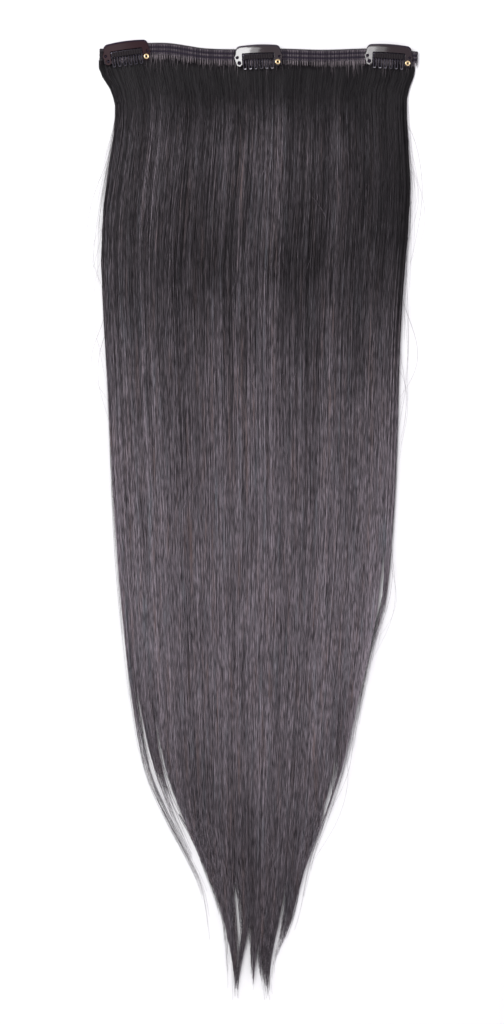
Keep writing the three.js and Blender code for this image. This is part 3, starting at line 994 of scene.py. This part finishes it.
def bandCore():
    # a padded strip under the turned hair, closed on the surface side
    size, drop = bandLook["coreSize"], bandLook["coreDrop"]
    section = [(along * size, up - drop) for along, up in bandLook["way"][2:16]]
    section += bandLook["coreFoot"]
    x = np.linspace(*bandLook["core"])
    rings = [[(at, bandY(at) + along, up) for along, up in section] for at in x[::-1]]
    # painted shade: the core is drawn nearly black, for the shaded inside of the band under the
    # turned hair
    tone = np.full((len(x), len(section)), 0.05)
    piece = loft("band_core", rings, bandFinish, {"tone": tone})
    keep(piece, body, "seam_band", "seam_band")


def wrapHair():
    # hair turned over the band in bundles, down to the short fringe
    random = np.random.default_rng(bandLook["seed"])
    left, right = bandLook["ends"]
    bundles = int((right - left) / bandLook["pitch"])
    centres = np.linspace(left, right, bundles)
    each = bandLook["perBundle"]
    count = bundles * each
    bundle = np.arange(count) // each
    slot = (np.arange(count) % each - (each - 1) / 2) / each
    along, up = np.array(bandLook["way"]).T[:, None, :].repeat(count, 1)
    last = bandLook["fringeEnd"] + bandLook["fringeSpread"] * random.normal(0, 1, count)
    last = last + 0.3 * random.normal(0, 1, bundles)[bundle]
    last = np.clip(last, *bandLook["fringeLimits"])
    start = bandLook["fringeStart"]
    fringe = np.clip((start - along) / 2.9, 0, 1)
    along = np.where(along < start, mix(start, last[:, None], fringe), along)
    corner = smooth(-centres, 100, 109.5)[bundle][:, None]
    along = np.where(along > 0, along * (1 - bandLook["cornerDrop"] * corner), along)
    valley = np.minimum(np.abs(along - 0.5), np.abs(along + 2.3))
    narrow, full, loose = bandLook["bundleWide"]
    wide = mix(narrow, full, smooth(valley, 0, 1.3))
    wide = np.where(along < -4, mix(loose, 1, corner), wide)
    lean = random.normal(0, bandLook["fringeLean"], bundles)[bundle][:, None] * fringe
    x = centres[bundle][:, None] + slot[:, None] * bandLook["pitch"] * wide + lean
    x = x + random.normal(0, bandLook["jitter"], count)[:, None]
    pinch = bandLook["pinch"] * np.cos(2 * np.pi * slot)[:, None]
    lift = random.normal(0, 0.05, count)[:, None] + pinch * (along > -4)
    lift = lift + random.normal(0, 0.1, bundles)[bundle][:, None] * fringe
    up = up + lift * smooth(up, 0.4, 1.2)
    paths = np.stack([x, bandY(x) + along, up], -1)
    tone = 0.35 * random.beta(2, 2, bundles)[bundle] + 0.65 * random.beta(1.6, 2, count)
    # painted shade: darker in the valleys between the stitched rows, on the far side where the
    # hair turns down over the band's edge, and at each bundle's sides
    tone = tone[:, None] * mix(0.06, 1.12, smooth(valley, 0.3, 1.1))
    rim = smooth(along, 2.5, 3.2)
    tone = tone * mix(1, 0.12, rim) * mix(1, 1.02, fringe)
    tone = tone * mix(0.75, 1, np.cos(np.pi * slot))[:, None]
    tone = tone * (1 - 0.75 * smooth(-centres, 104, 107)[bundle][:, None])
    thin = mix(1, 0.45, np.linspace(0, 1, len(bandLook["way"]))[None, :] ** 6)
    radius = bandLook["wrapRadius"] * thin * random.uniform(0.85, 1.15, count)[:, None]
    piece = tubes("band_turned_hair", paths, radius, bandFinish, attributes={"tone": tone})
    keep(piece, body, "seam_band", "seam_band")


def shortHairs():
    # ends of turned hair that reach out under the fringe, more in some places
    row = bandLook["shortHairs"]
    random = np.random.default_rng(bandLook["seed"] + 1)
    count = row["count"]
    place = random.uniform(-row["half"], row["half"], count * 3)
    patch = np.sin(place / 6.5) + np.sin(place / 11.3 + 1.7) + np.sin(place / 3.1)
    place = place[np.argsort(patch + random.normal(0, 2, count * 3))][-count:]
    share = np.linspace(0, 1, 8)[None, :]
    end = mix(*row["end"], random.random(count) ** 1.6)[:, None]
    along = mix(-4.6, end, share)
    x = place[:, None] + random.normal(0, 0.9, count)[:, None] * share**1.3
    down = np.maximum(-along - 4, 0) / weft["hairLength"]
    over = hairHeight(acrossOf(x, down), down) + 0.25 + 0.25 * random.random(count)[:, None]
    leave, most = bandLook["shortTop"]
    up = np.minimum(mix(leave, over, smooth(share, 0, 0.5)), most)
    settle = mix(1, 0.8, share)
    paths = np.stack([x, bandY(x) * settle + along, up], -1)
    tone = 0.95 * random.beta(1, 2.2, count)[:, None] * mix(1, 0.4, share)
    radius = row["radius"] * mix(1, 0.35, share**2) * random.uniform(0.7, 1.2, count)[:, None]
    piece = tubes("band_short_hairs", paths, radius, bandFinish, attributes={"tone": tone})
    keep(piece, body, "seam_band")


def threadRows():
    # three zigzag stitched rows, with a straight thread in each valley
    pitch = bandLook["pitch"]
    half = weft["halfBand"] - bandLook["threadInset"]
    paths = []
    turns = int(2 * half / pitch)
    x = np.linspace(-half, half, turns * 8 + 1)
    phase = x / pitch

    def lay(along, lift):
        up = np.interp(along, *wayBack.T) + bandLook["wrapRadius"] + lift
        paths.append(np.stack([x, bandY(x) + along, up], -1))

    for number, middle in enumerate(bandLook["rows"]):
        late = phase + 0.3 * number
        swing = 2 * np.abs(2 * (late - np.floor(late)) - 1) - 1
        lay(middle + bandLook["swing"] * np.clip(swing * 1.15, -1, 1), 0.05)
    for middle in bandLook["valleys"]:
        for side in (-0.14, 0.14):  # two plies of one thread
            lay(middle + side + 0.07 * np.sin(2 * np.pi * phase), 0.1)
    piece = tubes("band_thread", paths, bandLook["threadRadius"], threadFinish, 5)
    keep(piece, body, "seam_band", "seam_band")


bandCore()
wrapHair()
shortHairs()
threadRows()
print("seam band sewn")

# Snap clips, each in its own frame and then placed on the band.

plateLook = {
    "halfClip": 16.35,
    "halfBar": 15.25,
    "legInner": 11,
    "barBottom": 6.4,
    "barTop": 11.4,
    "barArch": 0.9,
    "corner": 3,
    "innerCorner": 0.7,
    "shoulder": 0.9,
    "shoulderY": 3.9,
    "thickness": 0.6,
    "edge": 0.12,
    "bow": 1.8,
    "level": 3.2,
    "rollDrop": 1.1,
    "endLift": 0.85,
    # the holes and the leg's end, by place and radius
    "lowerHole": (13, 0, 1.2),
    "upperHole": (14.35, 3.8, 0.95),
    "legEnd": (13, -0.5, 2),
    "setback": 6.1,
    # how far the upper edge has rolled over, from the bar's foot to its top
    "roll": ((0, 0), (0.4, 0), (0.6, 0.02), (0.74, 0.09), (0.84, 0.24), (0.91, 0.46), (1, 1)),
    # where the flat sheet is cut across so that it bends smoothly: columns and levels
    "stations": (np.linspace(-11, 11, 45), np.linspace(-16, 16, 21)),
    "levels": (
        6.5, 7.2, 8, 8.7, 9.3, 9.8, 10.2, 10.55, 10.85, 11.1, 11.35, 11.6, 11.85, 12.05, 12.2,
    ),
    # painted shade: the dark violet colour of the rolled top edge
    "paintedRimShade": (0.016, 0.01, 0.022),
}
# Each clip: its place in half bands, its tilt in degrees and its lacquer. The lacquers are copies
# of one: the left clip's browner and nearly matte, the right one's less glossy, as painted shade
# where less of the softbox's reflection falls on them.
clips = [
    {
        "name": "left", "along": -0.847, "tilt": 7.8,
        "lacquer": (0.02, 0.0098, 0.012), "roughness": 0.55, "gloss": 0.08,
    },
    {
        "name": "centre", "along": -0.013, "tilt": 2.2,
        "lacquer": (0.014, 0.008, 0.0105), "roughness": 0.13, "gloss": 1,
    },
    {
        "name": "right", "along": 0.813, "tilt": -3.5,
        "lacquer": (0.014, 0.008, 0.0105), "roughness": 0.2, "gloss": 0.6,
    },
]
legSlope = plateLook["bow"] / (plateLook["halfClip"] - plateLook["legInner"] / 2)


def bow(x):
    # how far the plate stands above its ends, sloped at the legs and round in between
    out = np.abs(x)
    inner = plateLook["legInner"]
    sloped = legSlope * (plateLook["halfClip"] - out)
    return np.where(out > inner, sloped, plateLook["bow"] - legSlope * out * out / (2 * inner))


def arcPoints(x, y, radius, start, end, steps):
    angle = np.radians(np.linspace(start, end, steps))
    return [(x + radius * math.cos(a), y + radius * math.sin(a)) for a in angle]


def barTopAt(x):
    share = np.clip(np.abs(x) / plateLook["halfBar"], 0, 1)
    corner = plateLook["corner"]
    past = np.maximum(0, np.abs(x) - (plateLook["halfBar"] - corner))
    cut = corner - np.sqrt(np.maximum(corner**2 - past**2, 0))
    return plateLook["barTop"] + plateLook["barArch"] * (1 - share * share) - cut


def plateOutline():
    # the right half from the top's middle round to the opening, then its mirror
    p = plateLook
    x = p["halfBar"] * np.sin(np.linspace(0, np.pi / 2, 34))
    half = [(a, float(barTopAt(a))) for a in x]
    half += [(p["halfBar"], p["barBottom"] + 0.6), (p["halfBar"] + 0.12, p["barBottom"] - 0.1)]
    shoulder = p["shoulder"]
    half += arcPoints(p["halfClip"] - shoulder, p["shoulderY"], shoulder, 38, -24, 8)
    legX, legY, legRadius = p["legEnd"]
    half += arcPoints(legX, legY, legRadius, -14, -180, 22)
    corner = p["innerCorner"]
    inner = p["legInner"]
    half += arcPoints(inner - corner, p["barBottom"] - corner, corner, 0, 90, 7)
    return half + [(-a, b) for a, b in reversed(half)]


def cutSheet(outline, holes, thickness, edge):
    # a flat sheet with rounded edges, from an outline and its holes
    flat = bpy.data.curves.new("sheet", "CURVE")
    flat.dimensions = "2D"
    flat.fill_mode = "BOTH"
    flat.extrude = thickness / 2 - edge
    flat.bevel_depth = edge
    flat.bevel_resolution = 2
    flat.offset = -edge
    for ring in [outline, *holes]:
        spline = flat.splines.new("POLY")
        spline.points.add(len(ring) - 1)
        for point, (x, y) in zip(spline.points, ring):
            point.co = (x, y, 0, 1)
        spline.use_cyclic_u = True
    holder = addObject("sheet", flat)
    bpy.context.view_layer.update()
    depsgraph = bpy.context.evaluated_depsgraph_get()
    mesh = bpy.data.meshes.new_from_object(holder.evaluated_get(depsgraph))
    bpy.data.objects.remove(holder)
    bpy.data.curves.remove(flat)
    return mesh


def bentSheet(name, mesh, material):
    # cuts the plate's sheet across at each station and level, and bends it
    shape = bmesh.new()
    shape.from_mesh(mesh)
    bpy.data.meshes.remove(mesh)
    bmesh.ops.remove_doubles(shape, verts=shape.verts, dist=0.004)
    for normal, places in (((1, 0, 0), stations), ((0, 1, 0), plateLook["levels"])):
        for place in places:
            spot = tuple(place * n for n in normal)
            everything = shape.verts[:] + shape.edges[:] + shape.faces[:]
            bmesh.ops.bisect_plane(
                shape, geom=everything, dist=1e-4, plane_co=spot, plane_no=normal
            )
    layer = shape.verts.layers.float.new("rim")
    for vert in shape.verts:
        vert[layer] = plateRim(vert.co.x, vert.co.y)
        vert.co.z = plateBend(vert.co.x, vert.co.y, vert.co.z)
    bmesh.ops.scale(shape, vec=(mm, mm, mm), verts=shape.verts)
    bmesh.ops.recalc_face_normals(shape, faces=shape.faces)
    made = bpy.data.meshes.new(name)
    shape.to_mesh(made)
    shape.free()
    made.shade_smooth()
    made.set_sharp_from_angle(angle=math.radians(50))
    made.materials.append(material)
    return addObject(name, made)


def plateBend(x, y, z):
    p = plateLook
    top = float(barTopAt(x))
    up = min(max((y - p["barBottom"]) / max(top - p["barBottom"], 0.1), 0), 1)
    drop = float(np.interp(up, *zip(*p["roll"])))
    share = min(abs(x) / p["halfBar"], 1)
    roll = p["rollDrop"] * (1 - p["endLift"] * share**4) * drop
    return p["level"] + p["thickness"] / 2 + float(bow(x)) + z - roll


def plateRim(x, y):
    # nought on the flat of the plate, one on its rolled edge
    return float(smooth(y - float(barTopAt(x)), -1.5, -0.7))


def lacquerOf(row):
    roughness, gloss = row["roughness"], row["gloss"]
    light = tuple(value * 1.6 for value in row["lacquer"])

    def vary(wire):
        haze = wire.noise((90, 90, 90), 3)
        scuff = wire.noise((1500, 220, 900), 2, 0.7)
        rim = wire.attribute("rim")
        colour = haze.blend(rgb(*row["lacquer"]), rgb(*light))
        return {
            # painted shade: the rolled top edge is tinted dark violet
            "Base Color": rim.blend(colour, rgb(*plateLook["paintedRimShade"])),
            "Roughness": roughness + 0.1 * (haze - 0.4) + 0.05 * scuff + 0.3 * rim,
            "Coat Weight": gloss * (1 - 0.92 * rim),
            "Normal": wire.bump(scuff, 0.00001, 0.02),
        }

    fixed = {"Specular IOR Level": 0.36 * gloss, "Coat Roughness": roughness * 0.6}
    return finish(row["name"] + "_lacquer", fixed, vary)


def steelVary(wire):
    # black wire, with painted glints where it bends
    wear = wire.noise((700, 700, 700), 2)
    black = wear.blend(rgb(0.013, 0.011, 0.015), rgb(0.07, 0.064, 0.085))
    return {
        "Base Color": wire.attribute("tone").blend(black, rgb(0.5, 0.48, 0.53)),
        "Roughness": 0.26 + 0.14 * wear,
    }


steelFinish = finish("comb_steel", {"Metallic": 0.9}, steelVary)
siliconeFinish = mottled(
    "grip_silicone", 1200, 3, ((0.0045, 0.003, 0.0038), (0.014, 0.0095, 0.013)), (0.55, 0.25),
    {"Specular IOR Level": 0.2},
)
brassFinish = mottled(
    "eyelet_brass", 900, 3, ((1, 0.83, 0.55), (0.85, 0.6, 0.28)), (0.2, 0.16), {"Metallic": 1}
)

combLook = {
    "teeth": 6,
    "pitch": 3.7,
    "width": 2.4,
    "wire": 0.31,
    "reach": 4.4,
    "barTop": 6,
    "barBottom": 4.6,
    "half": 10.7,
    "level": 3.35,
    "thickness": 0.6,
    "rise": 0.1,
    "bow": 0.5,
    "dip": 0.6,
    "paintedBendGlint": (1, 1, 0.35, 0.15, 0.6, 0.85),  # how bright each tooth's painted glint is drawn
}
gripLook = {"half": 9.9, "top": 5.6, "width": 3.3, "thickness": 1, "ribs": 12, "relief": 0.3}
eyeletLook = {"flange": 1.75, "bore": 0.8, "barrel": 1.05, "seat": 0.75, "height": 0.45}


def arch(x):
    return combLook["rise"] + combLook["bow"] * (1 - (x / plateLook["legInner"]) ** 2)


def combZ(x, y):
    c = combLook
    dip = c["dip"] * ((c["barTop"] - y) / (c["barTop"] + c["reach"])) ** 2
    return c["level"] + c["thickness"] / 2 + arch(x) - dip


def combPins():
    # one hairpin of wire for each tooth, its ends in the root bar
    c = combLook
    half = c["width"] / 2 - c["wire"]
    endY = -c["reach"] + c["width"] / 2
    down = np.linspace(c["barBottom"] + 0.5, endY, 12)
    angle = np.radians(np.linspace(180, 360, 13))[1:-1]
    x = np.concatenate([np.full(12, -half), half * np.cos(angle), np.full(12, half)])
    y = np.concatenate([down, endY + half * np.sin(angle), down[::-1]])
    pins = []
    for tooth in range(c["teeth"]):
        at = x + (tooth - (c["teeth"] - 1) / 2) * c["pitch"]
        pins.append(np.stack([at, y, combZ(at, y)], -1))
    return np.array(pins)


def roundedRing(x, low, high, base, top, radius):
    # a section across the clip at x, from its lower to its upper edge
    ring = []
    for cy, cz, start in (
        (high - radius, base + radius, -90),
        (high - radius, top - radius, 0),
        (low + radius, top - radius, 90),
        (low + radius, base + radius, 180),
    ):
        for angle in (0, 22.5, 45, 67.5, 90):
            turn = math.radians(start + angle)
            ring.append((x, cy + radius * math.cos(turn), cz + radius * math.sin(turn)))
    return ring


def join(name, pieces):
    # one object from several, with the first one's name
    shape = bmesh.new()
    for piece in pieces:
        shape.from_mesh(piece.data)
    made = pieces[0].data
    shape.to_mesh(made)
    shape.free()
    for piece in pieces[1:]:
        bpy.data.objects.remove(piece)
    pieces[0].name = name
    return pieces[0]


def clipComb(name, shine):
    c = combLook
    pins = combPins()
    # painted glints near the bottom of each pin's bend, fainter on the less glossy clips
    paintedBendGlint = 1 - smooth(pins[:, :, 1], -c["reach"] + 0.35, -c["reach"] + 0.95)
    paintedBendGlint = paintedBendGlint * shine * np.array(c["paintedBendGlint"])[:, None]
    pins = tubes(name, pins, c["wire"], steelFinish, 8, attributes={"tone": paintedBendGlint})
    rings = []
    for x in np.linspace(c["half"], -c["half"], 45):
        base = c["level"] + float(arch(x))
        ends = 0.35 * smooth(abs(x), c["half"] - 0.6, c["half"])
        low, high = c["barBottom"] + ends, c["barTop"] - ends
        rings.append(roundedRing(x, low, high, base, base + c["thickness"], 0.18))
    tone = np.zeros((len(rings), len(rings[0])))
    bar = loft(name + "_bar", rings, steelFinish, {"tone": tone}, sharpAngle=40)
    return join(name, [pins, bar])


def clipGrip(name):
    g = gripLook
    rings = []
    steps = g["ribs"] * 10
    for i in range(steps + 1):
        x = g["half"] * (1 - 2 * i / steps)
        base = combLook["level"] + combLook["thickness"] + 0.15 + float(arch(x))
        wave = abs(math.sin(math.pi * g["ribs"] * i / steps))
        rib = g["relief"] * (1 - wave**0.7)
        top = base + g["thickness"] - rib
        low, high = g["top"] - g["width"] + rib * 0.4, g["top"] - rib * 0.2
        rings.append(roundedRing(x, low, high, base, top, 0.26))
    return loft(name, rings, siliconeFinish, sharpAngle=60)


def clipEyelet(name):
    e = eyeletLook
    crest = e["seat"] + e["height"]
    middle = (e["bore"] + e["flange"]) / 2
    half = (e["flange"] - e["bore"]) / 2
    profile = [(e["bore"] + 0.05, 0.02), (e["barrel"], 0.02), (e["barrel"], e["seat"])]
    profile += [(e["flange"] - 0.12, e["seat"])]
    low = e["seat"] + 0.12
    for angle in np.radians(np.linspace(-20, 180, 12)):
        rise = max(math.sin(angle), -0.3)
        profile.append((middle + half * math.cos(angle), low + (crest - low) * rise))
    rings = []
    for turn in np.radians(np.linspace(0, 360, 49))[:-1]:
        rings.append([(r * math.cos(turn), r * math.sin(turn), z) for r, z in profile])
    count = len(profile)
    faces = loftFaces(len(rings) + 1, count, closed=False)
    total = len(rings) * count
    faces = [[i % total for i in face] for face in faces]
    piece = meshFrom(name, np.array(rings).reshape(-1, 3), faces, brassFinish, sharpAngle=50)
    x, y, _ = plateLook["lowerHole"]
    lift = plateLook["level"] + float(bow(x))
    seat = Matrix.Translation((x * mm, y * mm, lift * mm))
    piece.data.transform(seat @ Matrix.Rotation(math.atan(legSlope), 4, "Y"))
    return piece


def clipThread(name, random):
    # stitches through the plate's holes into the band and the hair
    paths = []
    share = np.linspace(0, 1, 12)
    lowX, lowY, lowRadius = plateLook["lowerHole"]
    highX, highY, highRadius = plateLook["upperHole"]
    for x, y, radius in (
        (-lowX, lowY, lowRadius), (-highX, highY, highRadius), (highX, highY, highRadius),
    ):
        lift = plateLook["level"] + float(bow(x))
        for turn in (0.25, 1.9, 3.3):
            turn = turn + random.uniform(-0.3, 0.3)
            along = np.cos(np.pi * share) * (radius * 0.78)
            px = x + along * math.cos(turn)
            py = y + along * math.sin(turn)
            pz = lift - 0.55 + 0.42 * np.sin(np.pi * share) + random.uniform(-0.05, 0.05)
            paths.append(np.stack([px, py, pz], -1))
    return tubes(name, np.array(paths), 0.19, threadFinish, 6)


stations = np.unique(np.round(np.concatenate(plateLook["stations"]), 3))


def makeClip(row):
    name = row["name"]
    p = plateLook
    holes = []
    for x, y, radius in (p["lowerHole"], p["upperHole"]):
        for side in (-1, 1):
            holes.append(arcPoints(side * x, y, radius, 0, 360, 29)[:-1])
    sheet = cutSheet(plateOutline(), holes, p["thickness"], p["edge"])
    lacquer = lacquerOf(row)
    plate = bentSheet(name + "_plate", sheet, lacquer)
    comb = clipComb(name + "_hairpins", row["gloss"])
    grip = clipGrip(name + "_rubber")
    eyelet = clipEyelet(name + "_eyelet")
    random = np.random.default_rng(len(name))
    thread = clipThread(name + "_clip_thread", random)
    x = row["along"] * weft["halfBand"]
    y = float(bandY(x)) - p["setback"]
    place = Matrix.Translation((x * mm, y * mm, 0))
    place = place @ Matrix.Rotation(math.radians(row["tilt"]), 4, "Z")
    for piece in (plate, comb, grip, eyelet, thread):
        piece.data.transform(place)
    keep(plate, body, "clip_plate", name + "_clip_plate")
    keep(comb, name + "_comb", "clip_comb", name + "_clip_comb")
    keep(grip, name + "_comb", "grip", name + "_clip_grip")
    keep(eyelet, body, "eyelet", name + "_clip_eyelet")
    keep(thread, body, "clip_plate")


for row in clips:
    makeClip(row)
print("clips set")

# Floor, light and camera; lengths here are metres.

studio = {
    "floor": (0.86, 0.855, 0.87),
    "halfFloor": 4,
    "horizon": 1.35,
    "zenith": 0.5,
    "backDark": 0.45,  # share of light that the far side lacks
    "rightTint": (0.97, 0.945, 1),
    "softbox": {"place": (-0.35, 0.25, 1.0), "size": (0.35, 0.34), "power": 3},
    "fill": {"place": (-0.9, 0.4, 2.0), "size": (1.6, 1.6), "power": 26},
    "camera": (-0.0058, -0.3118, 1.6),
    "lens": 82.5,
}


def floorVary(wire):
    grain = wire.noise((400, 400, 400), 2)
    low = tuple(value * 0.985 for value in studio["floor"])
    return {"Base Color": grain.blend(rgb(*low), rgb(*studio["floor"]))}


def makeFloor():
    half = studio["halfFloor"]
    mesh = bpy.data.meshes.new("floor")
    corners = [(-half, -half, 0), (half, -half, 0), (half, half, 0), (-half, half, 0)]
    mesh.from_pydata(corners, [], [(0, 1, 2, 3)])
    fixed = {"Roughness": 0.8, "Specular IOR Level": 0.2}
    mesh.materials.append(finish("pale_floor", fixed, floorVary))
    floor = addObject("floor", mesh)


def makeWorld():
    world = bpy.data.worlds.new("tent")
    bpy.context.scene.world = world
    world.use_nodes = True
    tree = world.node_tree
    wire = Wire(tree)
    spot = wire.node("TexCoord", output=0)
    side, depth, height = (wire.node("SeparateXYZ", {}, {0: spot}, n) for n in range(3))
    strength = height.between(1, 0.35) * (studio["horizon"] - studio["zenith"]) + studio["zenith"]
    strength = strength * (1 - studio["backDark"] * depth.between(0.25, 0.75))
    colour = side.between(0, 0.5).blend(rgb(1, 0.99, 1), rgb(*studio["rightTint"]))
    back = tree.nodes["Background"]
    tree.links.new(colour.socket, back.inputs["Color"])
    tree.links.new(strength.socket, back.inputs["Strength"])


def areaLight(name, row, aim):
    data = bpy.data.lights.new(name, "AREA")
    data.shape = "RECTANGLE"
    data.size, data.size_y = row["size"]
    data.energy = row["power"]
    lamp = addObject(name, data)
    lamp.location = row["place"]
    direction = Matrix.Translation(aim).translation - lamp.location
    lamp.rotation_euler = direction.to_track_quat("-Z", "Y").to_euler()


def makeCamera():
    data = bpy.data.cameras.new("camera")
    data.lens = studio["lens"]
    data.sensor_width = 36
    camera = addObject("camera", data)
    camera.location = studio["camera"]
    bpy.context.scene.camera = camera


makeFloor()
makeWorld()
areaLight("softbox", studio["softbox"], (0, 0, 0))
areaLight("fill", studio["fill"], (0, -0.3, 0))
makeCamera()
bpy.context.scene.view_settings.view_transform = "Standard"
print("studio lit")
